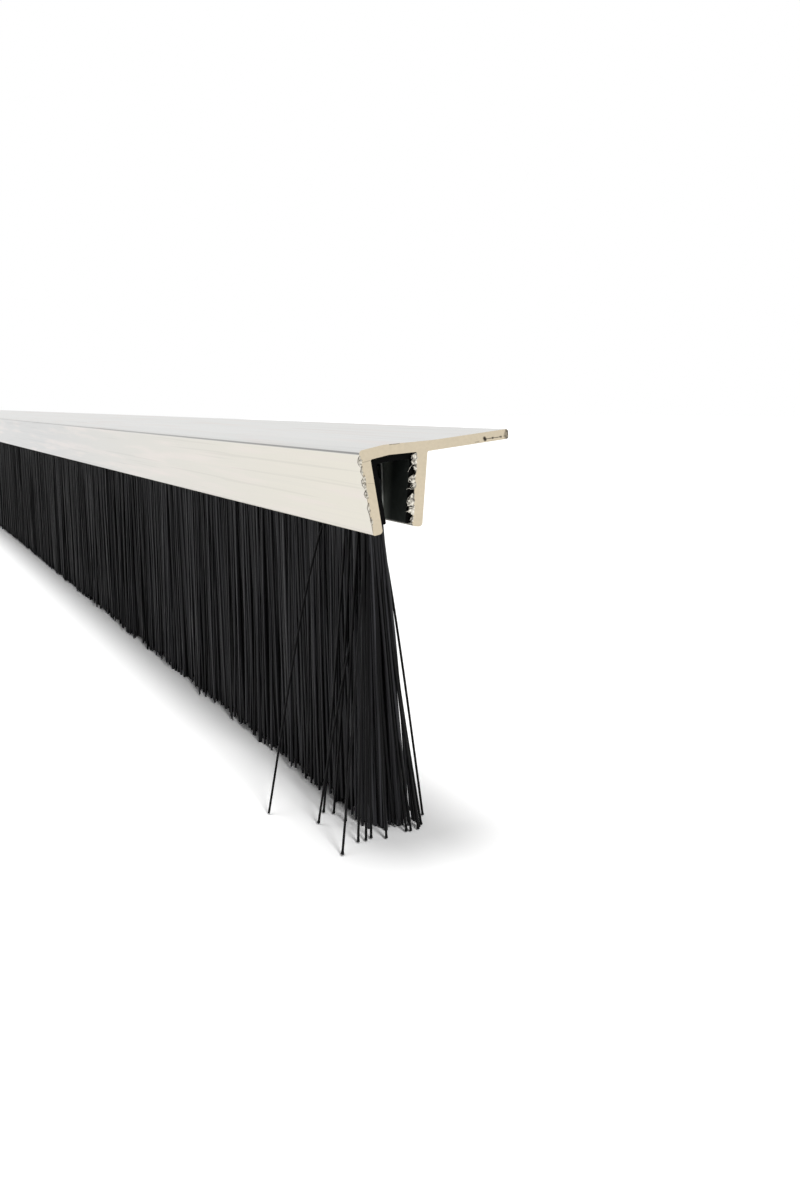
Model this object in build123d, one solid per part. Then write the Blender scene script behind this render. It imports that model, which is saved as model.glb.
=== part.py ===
from build123d import *
import math
import os

# Door bottom brush: an aluminium carrier pressed over a folded strip brush. Sizes are in
# millimetres and angles in degrees. The brush stands on its tips, as it does below a door.
# +X runs across to the free edge of the fixing flange, +Y along the strip, away from the cut
# end with the stray filaments, and +Z up. The origin is the middle of the fixing face.

# Driving dimensions of the whole
length = 914.0
flange_width = 25.3

# Driving dimensions of the carrier, an extrusion whose two legs were pressed inwards
wall = 1.5
front_wall = 1.6
rear_wall = 1.75
web_width = 12.3
web_tilt = 3.9
flange_tilt = 6.4
channel_gap = 7.6
front_depth = 12.8
rear_depth = 11.85
front_lean = 10.4
rear_lean = 4.4
corner_drop = 0.53
droop_tilt = 11.5
corner_radius = 0.5
bend_radius = 20.0
fold_radius = 3.0
edge_radius = 0.4
toe_radius = 0.3
leg_end_radius = 0.55
root_radius = 0.25

# Driving dimensions of the strip brush: backing channel, core wire and filaments
backing_setback = 0.4
brush_setback = 7.6
strip_wall = 0.9
strip_radius = 1.2
lip_rise = 0.6
core_diameter = 2.0
fold_thickness = 1.1
filament_reach = 49.4
tip_width = 7.4
tip_drift = 1.3
tip_lean = 1.5
end_spread = 1.0
filament_diameter = 0.4

# Driving dimensions of the tufts that the curtain gathers into
tuft_pitch = 3.0
flute_depth = 0.4
notch_height = 6.0
tuft_tip_share = 0.55
trim_scatter = 2.4
trim_steps = 5
trim_stride = 2

# Clearances
seat_gap = 0.05
pack_gap = 0.05
core_gap = 0.05
stray_gap = 0.1

backing_length = length - 2 * backing_setback
strip_length = length - 2 * brush_setback


def meet(first, second):
    """Corner of the section where two of its face lines cross."""
    (x1, z1), angle1 = first
    (x2, z2), angle2 = second
    run1, rise1 = math.cos(math.radians(angle1)), math.sin(math.radians(angle1))
    run2, rise2 = math.cos(math.radians(angle2)), math.sin(math.radians(angle2))
    along = ((x2 - x1) * rise2 - (z2 - z1) * run2) / (run1 * rise2 - rise1 * run2)
    return (x1 + along * run1, z1 + along * rise1)


def moved(face, distance):
    """Face line moved sideways, to the right of the way it runs."""
    (x, z), angle = face
    right = math.radians(angle - 90)
    return ((x + distance * math.cos(right), z + distance * math.sin(right)), angle)


def foot(point, face):
    """Point of a face line that lies square across from the given point."""
    return meet(face, (point, face[1] + 90))


def along_strip(section, extent):
    """Section drawn in X and Z, extruded by half of extent each way along Y."""
    return extrude(Plane.XZ * section, amount=extent / 2, both=True)


# Face lines of the carrier's section. Each has a point and the angle at which it runs, going
# clockwise round the metal and round the channel, so that the inside is on its right. Pressing
# the front leg inwards made the web droop towards its corner.
bend_x = web_width
bend_z = web_width * math.tan(math.radians(web_tilt))
flange_reach = (flange_width - web_width) / math.cos(math.radians(flange_tilt))
flange_run = math.cos(math.radians(flange_tilt))
flange_rise = math.sin(math.radians(flange_tilt))
fixing_x = bend_x + flange_reach / 2 * flange_run
fixing_z = bend_z + flange_reach / 2 * flange_rise
corner_x = -fixing_x
corner_z = -fixing_z

web_top = ((corner_x, corner_z), web_tilt)
droop_top = ((corner_x, corner_z - corner_drop), droop_tilt)
flange_top = ((0, 0), flange_tilt)
free_edge = ((flange_reach / 2 * flange_run, flange_reach / 2 * flange_rise), flange_tilt - 90)
flange_under = moved(flange_top, wall)
web_under = moved(web_top, wall)
front_outer = ((corner_x, corner_z - corner_drop), 90 + front_lean)
front_inner = moved(front_outer, front_wall)
droop_under = moved(droop_top, front_wall)
channel_corner = meet(front_inner, droop_under)
rear_top = meet(web_under, ((channel_corner[0] + channel_gap, corner_z), 90))
rear_inner = (rear_top, 270 - rear_lean)
rear_outer = moved(rear_inner, -rear_wall)
front_foot = meet(front_outer, ((corner_x, corner_z - front_depth), 0))
front_end = (front_foot, front_lean)
rear_foot = meet(rear_outer, ((corner_x, corner_z - rear_depth), 0))
rear_end = (rear_foot, -rear_lean)


def carrier_profile():
    """Extruded aluminium section: flange, web and the two pressed legs."""
    faces = [droop_top, web_top, flange_top, free_edge, flange_under, rear_outer, rear_end]
    faces += [rear_inner, web_under, droop_under, front_inner, front_end, front_outer]
    corners = [meet(before, after) for before, after in zip(faces, faces[1:] + faces[:1])]
    radii = [fold_radius, bend_radius, edge_radius, edge_radius, root_radius]
    radii += [leg_end_radius, leg_end_radius, root_radius, fold_radius, root_radius]
    radii += [leg_end_radius, toe_radius, corner_radius]
    outline = FilletPolyline(*corners, radius=radii, close=True)
    return along_strip(make_face(outline), length)


# The backing channel lines the carrier's channel and ends just above the rear leg's end
lip_z = corner_z - rear_depth + lip_rise
lip_line = ((corner_x, lip_z), 0)
channel_faces = [front_inner, droop_under, web_under, rear_inner]


def backing_channel():
    """Folded strip that lines the carrier's channel, open downwards."""
    outside = [lip_line] + [moved(face, seat_gap) for face in channel_faces] + [lip_line]
    inside = [lip_line] + [moved(face, seat_gap + strip_wall) for face in channel_faces]
    inside += [lip_line]
    outer = [meet(before, after) for before, after in zip(outside, outside[1:])]
    inner = [meet(before, after) for before, after in zip(inside, inside[1:])]
    inner_radius = max(strip_radius - strip_wall, root_radius)
    outer_radii = [root_radius, strip_radius, fold_radius, strip_radius, root_radius]
    inner_radii = [root_radius, inner_radius, fold_radius, inner_radius, root_radius]
    outline = FilletPolyline(*outer, *inner[::-1], radius=outer_radii + inner_radii, close=True)
    return along_strip(make_face(outline), backing_length)


# The filaments are folded over the core wire, where the tapering channel grips the fold
pack_offset = seat_gap + strip_wall + pack_gap
pack_front = moved(front_inner, pack_offset)
pack_rear = moved(rear_inner, pack_offset)
core_radius = core_diameter / 2
bore_radius = core_radius + core_gap
fold_outer = bore_radius + fold_thickness
fold_centre = meet(moved(pack_front, fold_outer), moved(pack_rear, fold_outer))
exit_front = meet(pack_front, lip_line)
exit_rear = meet(pack_rear, lip_line)
exit_x = (exit_front[0] + exit_rear[0]) / 2
exit_half = (exit_rear[0] - exit_front[0]) / 2
tip_z = lip_z - filament_reach


def core_wire():
    """Steel wire inside the fold of the filaments."""
    return along_strip(Pos(*fold_centre) * Circle(core_radius), strip_length)


def folded_pack():
    """Filaments inside the channel: the round fold over the wire and the neck below it."""
    fold = Pos(*fold_centre) * Circle(fold_outer)
    front_side = foot(fold_centre, pack_front)
    rear_side = foot(fold_centre, pack_rear)
    neck = make_face(Polyline(front_side, rear_side, exit_rear, exit_front, close=True))
    bore = Pos(*fold_centre) * Circle(bore_radius)
    return along_strip(fold + neck - bore, strip_length)


# The tufts leave the channel side by side. They fan out to their tips, across and a little at
# both ends, and all lean slightly towards the cut end with the stray filaments.
tuft_count = max(round(strip_length / tuft_pitch), 1)
root_pitch = strip_length / tuft_count


def tuft_ring(index, level, share):
    """Six corners of a tuft's section at a level, drawn in to a share of its pitch."""
    drop = (lip_z - level) / filament_reach
    spread = 1 + drop * 2 * end_spread / strip_length
    y = (index + 0.5 - tuft_count / 2) * root_pitch * spread - tip_lean * drop
    half_pitch = root_pitch * spread * share / 2
    x = exit_x + tip_drift * drop
    half = exit_half + (tip_width / 2 - exit_half) * drop
    valley = half - flute_depth * spread * share
    front = [Vector(x - valley, y - half_pitch, level), Vector(x - half, y, level)]
    front.append(Vector(x - valley, y + half_pitch, level))
    rear = [Vector(x + valley, y + half_pitch, level), Vector(x + half, y, level)]
    rear.append(Vector(x + valley, y - half_pitch, level))
    return front + rear


def flat_face(*corners):
    """Flat face through the given corners."""
    return Face(Wire.make_polygon(corners, close=True))


def tuft_faces(index):
    """Faces of one tuft: fluted sides down to the notches, then its own tapering tip."""
    trim = trim_scatter * (index * trim_stride % trim_steps) / (trim_steps - 1)
    root = tuft_ring(index, lip_z, 1)
    notch = tuft_ring(index, tip_z + notch_height, 1)
    tip = tuft_ring(index, tip_z + trim, tuft_tip_share)
    faces = [flat_face(*tip)]
    for side in range(6):
        following = (side + 1) % 6
        shared = side in (2, 5)
        outermost = (side == 2 and index == tuft_count - 1) or (side == 5 and index == 0)
        if outermost or not shared:
            faces.append(flat_face(root[side], root[following], notch[following], notch[side]))
        faces.append(flat_face(notch[side], notch[following], tip[following], tip[side]))
    return faces


def filament_curtain():
    """Fluted curtain of filaments with ragged tips, in one piece with its folded pack."""
    rings = [tuft_ring(index, lip_z, 1) for index in range(tuft_count)]
    front_row = [corner for ring in rings for corner in ring[:2]] + [rings[-1][2]]
    rear_row = [corner for ring in reversed(rings) for corner in ring[3:5]] + [rings[0][5]]
    faces = [flat_face(*front_row, *rear_row)]
    for index in range(tuft_count):
        faces += tuft_faces(index)
    return folded_pack() + Solid(Shell(faces))


# Single filaments that stand away from the curtain near the cut end. Each has its side of the
# curtain, its distance from the end of the strip, and how far its tip goes out and along.
stray_filaments_seen = [
    ("front", 0.4, 7.1, -8.9),
    ("front", 1.2, 5.6, 2.6),
    ("front", 17.5, 11.3, -6.3),
    ("rear", 0.4, 3.0, -1.7),
]
stray_sides = 6


def stray_filament(side, inset, reach_out, reach_along):
    """Straight filament from the lip of the backing channel to a tip beside the curtain."""
    outwards = -1 if side == "front" else 1
    start_z = lip_z - stray_gap
    clear = filament_diameter / 2 + stray_gap
    start_x = exit_x + outwards * (exit_half + clear)
    end_x = exit_x + tip_drift + outwards * (tip_width / 2 + clear + reach_out)
    start_y = -strip_length / 2 + inset
    end_y = start_y + reach_along
    start = Vector(start_x, start_y, start_z)
    run = Vector(end_x, end_y, tip_z + filament_diameter) - start
    section = Plane(start, z_dir=run) * RegularPolygon(filament_diameter / 2, stray_sides)
    return extrude(section, amount=run.length)


def stray_filaments():
    """The stray filaments as a group of separate solids."""
    return Compound([stray_filament(*seen).solid() for seen in stray_filaments_seen])


os.makedirs("parts", exist_ok=True)
export_step(carrier_profile(), "parts/carrier_profile.step")
export_step(backing_channel(), "parts/backing_channel.step")
export_step(core_wire(), "parts/core_wire.step")
export_step(filament_curtain(), "parts/filament_curtain.step")
export_step(stray_filaments(), "parts/stray_filaments.step")
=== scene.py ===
"""Door bottom brush: an aluminium carrier pressed over a strip brush of black filaments.

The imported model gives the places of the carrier, the channel, the wire and the curtain, in metres.
What is finer than its solids, such as a filament, a burr or a scratch, has its named values here.
The carrier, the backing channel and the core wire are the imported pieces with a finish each. The
curtain and the stray filaments are grown here filament by filament, in the space of the solids
that they stand for.
"""

import logging
import math
import random
from dataclasses import dataclass, field
from enum import Enum
from typing import Any

import bmesh
import bpy
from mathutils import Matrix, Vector


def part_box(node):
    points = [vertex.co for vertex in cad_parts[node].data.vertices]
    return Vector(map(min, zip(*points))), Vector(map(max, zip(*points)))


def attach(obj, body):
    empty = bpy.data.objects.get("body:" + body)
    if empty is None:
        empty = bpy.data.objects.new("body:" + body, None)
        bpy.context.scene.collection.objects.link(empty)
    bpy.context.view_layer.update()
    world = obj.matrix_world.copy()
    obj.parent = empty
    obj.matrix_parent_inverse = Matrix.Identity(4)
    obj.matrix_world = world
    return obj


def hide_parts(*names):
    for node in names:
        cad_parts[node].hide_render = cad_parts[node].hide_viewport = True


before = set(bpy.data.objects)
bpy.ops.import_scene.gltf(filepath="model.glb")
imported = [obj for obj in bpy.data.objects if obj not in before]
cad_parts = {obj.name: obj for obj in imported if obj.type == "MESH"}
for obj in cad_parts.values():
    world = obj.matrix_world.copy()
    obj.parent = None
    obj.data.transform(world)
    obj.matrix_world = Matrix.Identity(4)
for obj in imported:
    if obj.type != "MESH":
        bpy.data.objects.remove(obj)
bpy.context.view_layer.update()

MM = 0.001
BODY = "root"
POLYPROPYLENE_IOR = 1.49

# Most of a noise pattern lies between these two values
NOISE_LOW = 0.3
NOISE_HIGH = 0.7

# How near to the lip or to the tips a point of the curtain's solid counts as one of theirs
LIP_BAND = 0.01 * MM
TIP_BAND = 0.7 * MM

TUBE_ROUNDNESS = 2
FLOOR_GAP = 0.01 * MM
log = logging.getLogger("door_bottom_brush")

Colour = tuple[float, float, float, float]
Outline = tuple[tuple[float, float], ...]
Sockets = bpy.types.bpy_prop_collection
Source = bpy.types.Node | bpy.types.NodeSocket | float


def colour(code: str) -> Colour:
    """Turn an sRGB hex colour into linear values.

    Args:
        code: six hex digits after a hash sign.

    Returns:
        Linear red, green and blue, and full opacity.
    """
    parts = [int(code[start:start + 2], 16) / 255 for start in (1, 3, 5)]
    linear = [part / 12.92 if part <= 0.04045 else ((part + 0.055) / 1.055) ** 2.4 for part in parts]
    return (linear[0], linear[1], linear[2], 1.0)


def per_metre(period_mm: float) -> float:
    """Scale that makes a pattern repeat once in the given number of millimetres."""
    return 1 / (period_mm * MM)


def add_node(tree: bpy.types.NodeTree, kind: str, inputs: dict | None = None,
             **settings: Any) -> bpy.types.Node:
    """Add a node with its settings and its links.

    Args:
        tree: the node tree to add to.
        kind: the node's type.
        inputs: what each input takes, by name or number: a value, another node's output, or another
            node for its first output.
        settings: the node's own properties.

    Returns:
        The new node.
    """
    node = tree.nodes.new(kind)
    for name, value in settings.items():
        setattr(node, name, value)
    for key, value in (inputs or {}).items():
        source = value.outputs[0] if isinstance(value, bpy.types.Node) else value
        if isinstance(source, bpy.types.NodeSocket):
            tree.links.new(source, node.inputs[key])
        else:
            node.inputs[key].default_value = source
    return node


def new_material(name: str) -> tuple[bpy.types.Material, bpy.types.NodeTree]:
    """Start an empty node material.

    Args:
        name: the name of the real material.

    Returns:
        The material and its node tree.
    """
    material = bpy.data.materials.new(name)
    material.use_nodes = True
    material.node_tree.nodes.clear()
    return material, material.node_tree


def add_object(name: str, data: bpy.types.ID) -> bpy.types.Object:
    """Put a mesh, curve, lamp or camera into the scene, at the origin.

    Args:
        name: the name of the new object.
        data: what it shows.

    Returns:
        The new object.
    """
    thing = bpy.data.objects.new(name, data)
    bpy.context.scene.collection.objects.link(thing)
    return thing


def add_solid(name: str, points: list[tuple[float, float, float]], faces: list[tuple[int, ...]],
              finish: bpy.types.Material) -> bpy.types.Object:
    """Make a piece from points and faces, and turn its faces outward.

    Args:
        name: the name of the piece.
        points: its corners in metres.
        faces: the corners of each face, by number.
        finish: the piece's material.

    Returns:
        The new object, at the origin.
    """
    mesh = bpy.data.meshes.new(name)
    mesh.from_pydata(points, [], faces)
    shell = bmesh.new()
    shell.from_mesh(mesh)
    bmesh.ops.recalc_face_normals(shell, faces=shell.faces)
    shell.to_mesh(mesh)
    shell.free()
    mesh.materials.append(finish)
    return add_object(name, mesh)


def stand_for_curtain(pieces: list[bpy.types.Object]) -> None:
    """Ride each piece on the body and let it stand for the curtain's solid.

    Args:
        pieces: the grown or placed filaments, as plain meshes.
    """
    for piece in pieces:
        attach(piece, BODY)
        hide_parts("filament_curtain")


@dataclass(frozen=True)
class Mark:
    """Dent, scratch, speck or line of painted shadow on the sawn end: a short line in the section, with
    its half width.
    """

    start_mm: tuple[float, float]
    end_mm: tuple[float, float]
    half_width_mm: float
    strength: float


@dataclass(frozen=True)
class MillAluminium:
    """Extruded aluminium with a mill finish: satin, nearly white, with faint lines along the die.

    The top and the pressed front leg have colours of their own, which paint the shading of each face;
    the front leg is warmer near the cut end and darker farther along. A dark line of painted shade runs
    along the rounded corner. The sawn ends are matt and creamy, with pits near the free edge of the
    flange. A level is the noise value at which a pattern starts, and the one at which it is full.
    """

    # The top and the front leg have colours of their own, which paint the shading of each face
    top: str = "#DADAD8"
    front_near: str = "#D5D1C6"
    front_far: str = "#BEBEBD"
    sawn: str = "#C6BBA5"
    sawn_pale: str = "#CFC2AB"
    # Painted shade: the dark line along the rounded corner
    corner_shade: str = "#4E4E4C"
    blush: str = "#D9D0CB"
    pit: str = "#2A2724"
    roughness: float = 0.34
    streak_mm: tuple[float, float, float] = (0.35, 45.0, 0.35)
    scratch_mm: tuple[float, float, float] = (0.9, 70.0, 0.55)
    blotch_mm: tuple[float, float, float] = (2.0, 40.0, 2.0)
    grit_mm: float = 0.5
    stain_mm: float = 2.6
    warm_reach_mm: float = 260.0
    corner_shade_width_mm: float = 0.11
    corner_shade_fade_mm: float = 420.0
    sawn_depth_mm: float = 0.02
    relief_mm: float = 0.02
    streak_level: tuple[float, float] = (0.25, 0.75)
    streak_shade: tuple[float, float] = (0.96, 1.02)
    scratch_level: tuple[float, float] = (0.63, 0.68)
    scratch_shade: float = 0.93
    blush_level: tuple[float, float] = (0.5, 0.7)
    blush_share: float = 0.55
    corner_turn_mm: float = 0.3
    corner_shade_share: tuple[float, float] = (0.7, 0.4)
    corner_shade_soft: float = 1.8
    grit_shade: tuple[float, float] = (0.95, 1.03)
    gloss_range: tuple[float, float] = (-0.06, 0.1)
    pit_band_mm: tuple[float, float] = (4.6, 6.6)
    pit_depth: float = 0.16
    pit_level: tuple[float, float] = (0.05, 0.09)
    mark: str = "#3A352E"
    mark_wander_mm: float = 0.16
    mark_edge: tuple[float, float] = (0.6, 1.5)
    marks: tuple[Mark, ...] = (
        Mark((-13.9, -1.30), (-12.3, -1.16), 0.06, 0.6),
        Mark((-18.6, -3.80), (-17.1, -3.50), 0.05, 0.35),
        Mark((-17.4, -6.73), (-15.9, -6.78), 0.05, 0.22),
        # Dark line down the front leg's outer edge: partly the torn edge, partly painted shadow of the
        # burrs
        Mark((-18.80, -2.5), (-16.62, -13.9), 0.07, 0.55),
        Mark((2.28, -0.64), (2.42, -0.82), 0.24, 1.0),
        Mark((2.4, -0.74), (5.4, -0.46), 0.06, 0.8),
        Mark((3.70, -0.62), (3.85, -0.60), 0.13, 0.9),
        Mark((5.10, -0.46), (5.30, -0.44), 0.12, 0.8),
        Mark((6.15, -0.35), (6.35, 0.35), 0.34, 0.5),
        Mark((0.70, -1.20), (1.30, -1.12), 0.08, 0.4))

    def build(self, half_length: float, corner: Vector) -> bpy.types.Material:
        """Build the node material.

        Args:
            half_length: half of the carrier's length in metres.
            corner: a point on the corner between the web and the front leg.

        Returns:
            The finished material.
        """
        material, tree = new_material("mill finish aluminium")
        place = add_node(tree, "ShaderNodeTexCoord").outputs["Object"]
        axes = add_node(tree, "ShaderNodeSeparateXYZ", {0: place}).outputs
        section = add_node(tree, "ShaderNodeCombineXYZ", {"X": axes["X"], "Z": axes["Z"]})
        patterns = []
        for size_mm, detail, roughness in ((self.streak_mm, 3.0, 0.6), (self.blotch_mm, 3.0, 0.5),
                                           (self.scratch_mm, 1.0, 0.5)):
            stretched = add_node(tree, "ShaderNodeMapping", {
                "Vector": place, "Scale": [per_metre(size) for size in size_mm]})
            noise = add_node(tree, "ShaderNodeTexNoise", {"Vector": stretched, "Scale": 1.0,
                                                          "Detail": detail, "Roughness": roughness})
            patterns.append(noise.outputs["Fac"])
        streaks, blotches, scratches = patterns
        grit = add_node(tree, "ShaderNodeTexNoise", {"Vector": place, "Detail": 4.0,
                                                     "Scale": per_metre(self.grit_mm)})

        drawn = self.add_drawn_faces(tree, axes, corner, half_length, blotches)
        shade = add_node(tree, "ShaderNodeMapRange", {
            "Value": streaks, "From Min": self.streak_level[0], "From Max": self.streak_level[1],
            "To Min": self.streak_shade[0], "To Max": self.streak_shade[1]})
        scratch = add_node(tree, "ShaderNodeMapRange", {
            "Value": scratches, "From Min": self.scratch_level[0], "From Max": self.scratch_level[1],
            "To Min": 1.0, "To Max": self.scratch_shade})
        scored = add_node(tree, "ShaderNodeMath", {0: shade, 1: scratch}, operation="MULTIPLY")
        lined = add_node(tree, "ShaderNodeMix", {"Factor": 1.0, 6: drawn, 7: scored},
                         data_type="RGBA", blend_type="MULTIPLY")
        # A thin dark line of painted shade along the rounded corner
        corner_shade = self.add_corner_shade(tree, axes["Y"], section, corner, half_length)
        corner_shaded = add_node(tree, "ShaderNodeMix", {"Factor": corner_shade, 6: lined.outputs[2],
                                                   7: colour(self.corner_shade)}, data_type="RGBA")

        reach = add_node(tree, "ShaderNodeMath", {0: axes["Y"]}, operation="ABSOLUTE")
        sawn = add_node(tree, "ShaderNodeMath", {0: reach, 1: half_length - self.sawn_depth_mm * MM},
                        operation="GREATER_THAN")
        pitted = self.add_sawn_ends(tree, place, axes["X"], grit.outputs["Fac"])
        marked = self.add_marks(tree, section, grit.outputs["Color"], axes["Y"])
        scarred = add_node(tree, "ShaderNodeMix", {"Factor": marked, 6: pitted,
                                                   7: colour(self.mark)}, data_type="RGBA")
        face = add_node(tree, "ShaderNodeMix", {"Factor": sawn, 6: corner_shaded.outputs[2],
                                                7: scarred.outputs[2]}, data_type="RGBA")

        relief = add_node(tree, "ShaderNodeMix", {"Factor": sawn, 2: streaks, 3: grit.outputs["Fac"]})
        bump = add_node(tree, "ShaderNodeBump", {"Height": relief, "Strength": 0.25,
                                                 "Distance": self.relief_mm * MM})
        gloss = add_node(tree, "ShaderNodeMapRange", {"Value": streaks,
                                                      "To Min": self.roughness + self.gloss_range[0],
                                                      "To Max": self.roughness + self.gloss_range[1]})
        shader = add_node(tree, "ShaderNodeBsdfPrincipled", {
            "Base Color": face.outputs[2], "Metallic": 1.0, "Roughness": gloss, "Normal": bump})
        add_node(tree, "ShaderNodeOutputMaterial", {"Surface": shader})
        return material

    def add_drawn_faces(self, tree: bpy.types.NodeTree, axes: Sockets, corner: Vector, half_length: float,
                        blotches: bpy.types.NodeSocket) -> bpy.types.NodeSocket:
        """Colour the drawn faces, with painted shading: neutral on top, warm on the front leg near the
        cut end and darker farther along, and blotched.

        Args:
            tree: the material's node tree.
            axes: the place on the carrier, as separate X, Y and Z.
            corner: a point on the corner between the web and the front leg.
            half_length: half of the carrier's length in metres.
            blotches: the pattern of the pinkish blotches.

        Returns:
            The colour of the drawn faces.
        """
        away = add_node(tree, "ShaderNodeMapRange", {
            "Value": axes["Y"], "From Min": -half_length,
            "From Max": -half_length + self.warm_reach_mm * MM})
        front = add_node(tree, "ShaderNodeMix", {"Factor": away, 6: colour(self.front_near),
                                                 7: colour(self.front_far)}, data_type="RGBA")
        below = add_node(tree, "ShaderNodeMapRange", {
            "Value": axes["Z"], "From Min": corner.z, "From Max": corner.z - self.corner_turn_mm * MM})
        drawn = add_node(tree, "ShaderNodeMix", {"Factor": below, 6: colour(self.top),
                                                 7: front.outputs[2]}, data_type="RGBA")
        blush = add_node(tree, "ShaderNodeMapRange", {
            "Value": blotches, "From Min": self.blush_level[0], "From Max": self.blush_level[1],
            "To Max": self.blush_share})
        return add_node(tree, "ShaderNodeMix", {"Factor": blush, 6: drawn.outputs[2],
                                                7: colour(self.blush)}, data_type="RGBA").outputs[2]

    def add_corner_shade(self, tree: bpy.types.NodeTree, along: bpy.types.NodeSocket,
                   section: bpy.types.Node, corner: Vector, half_length: float) -> bpy.types.Node:
        """Add the painted shade along the rounded corner: a thin dark line, which fades away from the cut
        end.

        Args:
            tree: the material's node tree.
            along: the place along the strip.
            section: the place in the section.
            corner: a point on the corner.
            half_length: half of the carrier's length in metres.

        Returns:
            How dark the line is at each point.
        """
        off_corner = add_node(tree, "ShaderNodeVectorMath", {0: section, 1: (corner.x, 0.0, corner.z)},
                              operation="DISTANCE")
        width = self.corner_shade_width_mm * MM
        line = add_node(tree, "ShaderNodeMapRange", {
            "Value": off_corner.outputs["Value"], "From Min": width,
            "From Max": self.corner_shade_soft * width, "To Min": 1.0, "To Max": 0.0})
        fading = add_node(tree, "ShaderNodeMapRange", {
            "Value": along, "From Min": -half_length, "To Min": self.corner_shade_share[0],
            "From Max": -half_length + self.corner_shade_fade_mm * MM, "To Max": self.corner_shade_share[1]})
        return add_node(tree, "ShaderNodeMath", {0: line, 1: fading}, operation="MULTIPLY")

    def add_sawn_ends(self, tree: bpy.types.NodeTree, place: bpy.types.NodeSocket,
                      across: bpy.types.NodeSocket, grit: bpy.types.NodeSocket) -> bpy.types.NodeSocket:
        """Colour the sawn ends: matt cream metal, with dark pits near the flange's free edge.

        Args:
            tree: the material's node tree.
            place: the place on the carrier.
            across: the place across the strip.
            grit: the pattern of the saw's grit.

        Returns:
            The colour of the sawn ends.
        """
        stain = add_node(tree, "ShaderNodeTexNoise", {"Vector": place, "Detail": 3.0,
                                                      "Scale": per_metre(self.stain_mm)})
        stained = add_node(tree, "ShaderNodeMix", {"Factor": stain.outputs["Fac"], 6: colour(self.sawn),
                                                   7: colour(self.sawn_pale)}, data_type="RGBA")
        gritty = add_node(tree, "ShaderNodeMapRange", {
            "Value": grit, "From Min": NOISE_LOW, "From Max": NOISE_HIGH, "To Min": self.grit_shade[0],
            "To Max": self.grit_shade[1]})
        metal = add_node(tree, "ShaderNodeMix", {"Factor": 1.0, 6: stained.outputs[2], 7: gritty},
                         data_type="RGBA", blend_type="MULTIPLY")
        band_start, band_end = (value * MM for value in self.pit_band_mm)
        band = add_node(tree, "ShaderNodeMapRange", {"Value": across, "From Min": band_start,
                                                     "From Max": band_end})
        pitting = add_node(tree, "ShaderNodeMath", {0: grit, 1: self.pit_depth}, operation="MULTIPLY")
        level = add_node(tree, "ShaderNodeMath", {0: band, 1: pitting}, operation="MULTIPLY")
        pits = add_node(tree, "ShaderNodeMapRange", {"Value": level, "From Min": self.pit_level[0],
                                                     "From Max": self.pit_level[1]})
        return add_node(tree, "ShaderNodeMix", {"Factor": pits, 6: metal.outputs[2],
                                                7: colour(self.pit)}, data_type="RGBA").outputs[2]

    def add_marks(self, tree: bpy.types.NodeTree, section: bpy.types.Node,
                  wander: bpy.types.NodeSocket, along: bpy.types.NodeSocket) -> bpy.types.Node:
        """Add the marks on the sawn end beside the stray filaments.

        Args:
            tree: the material's node tree.
            section: the place in the section.
            wander: a noise colour that makes the marks' outlines uneven.
            along: the place along the strip.

        Returns:
            How strongly each point is marked.
        """
        offset = add_node(tree, "ShaderNodeVectorMath", {0: wander, 1: (0.5, 0.5, 0.5)},
                          operation="SUBTRACT")
        shaken = add_node(tree, "ShaderNodeVectorMath", {0: offset, 2: section,
                                                         1: [self.mark_wander_mm * MM] * 3},
                          operation="MULTIPLY_ADD")
        total: Source = 0.0
        for mark in self.marks:
            start, end = (Vector((x * MM, 0.0, z * MM)) for x, z in (mark.start_mm, mark.end_mm))
            run = end - start
            out = add_node(tree, "ShaderNodeVectorMath", {0: shaken, 1: start}, operation="SUBTRACT")
            flat = add_node(tree, "ShaderNodeVectorMath", {0: out, 1: (1.0, 0.0, 1.0)},
                            operation="MULTIPLY")
            share = add_node(tree, "ShaderNodeVectorMath", {0: flat, 1: run / run.length_squared},
                             operation="DOT_PRODUCT")
            held = add_node(tree, "ShaderNodeClamp", {0: share.outputs["Value"]})
            nearest = add_node(tree, "ShaderNodeVectorMath", {0: run, "Scale": held}, operation="SCALE")
            reach = add_node(tree, "ShaderNodeVectorMath", {0: flat, 1: nearest}, operation="DISTANCE")
            half = mark.half_width_mm * MM
            dark = add_node(tree, "ShaderNodeMapRange", {
                "Value": reach.outputs["Value"], "From Min": self.mark_edge[0] * half,
                "From Max": self.mark_edge[1] * half, "To Min": mark.strength, "To Max": 0.0})
            total = add_node(tree, "ShaderNodeMath", {0: total, 1: dark}, operation="MAXIMUM")
        near = add_node(tree, "ShaderNodeMath", {0: along, 1: 0.0}, operation="LESS_THAN")
        return add_node(tree, "ShaderNodeMath", {0: total, 1: near}, operation="MULTIPLY")


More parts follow.
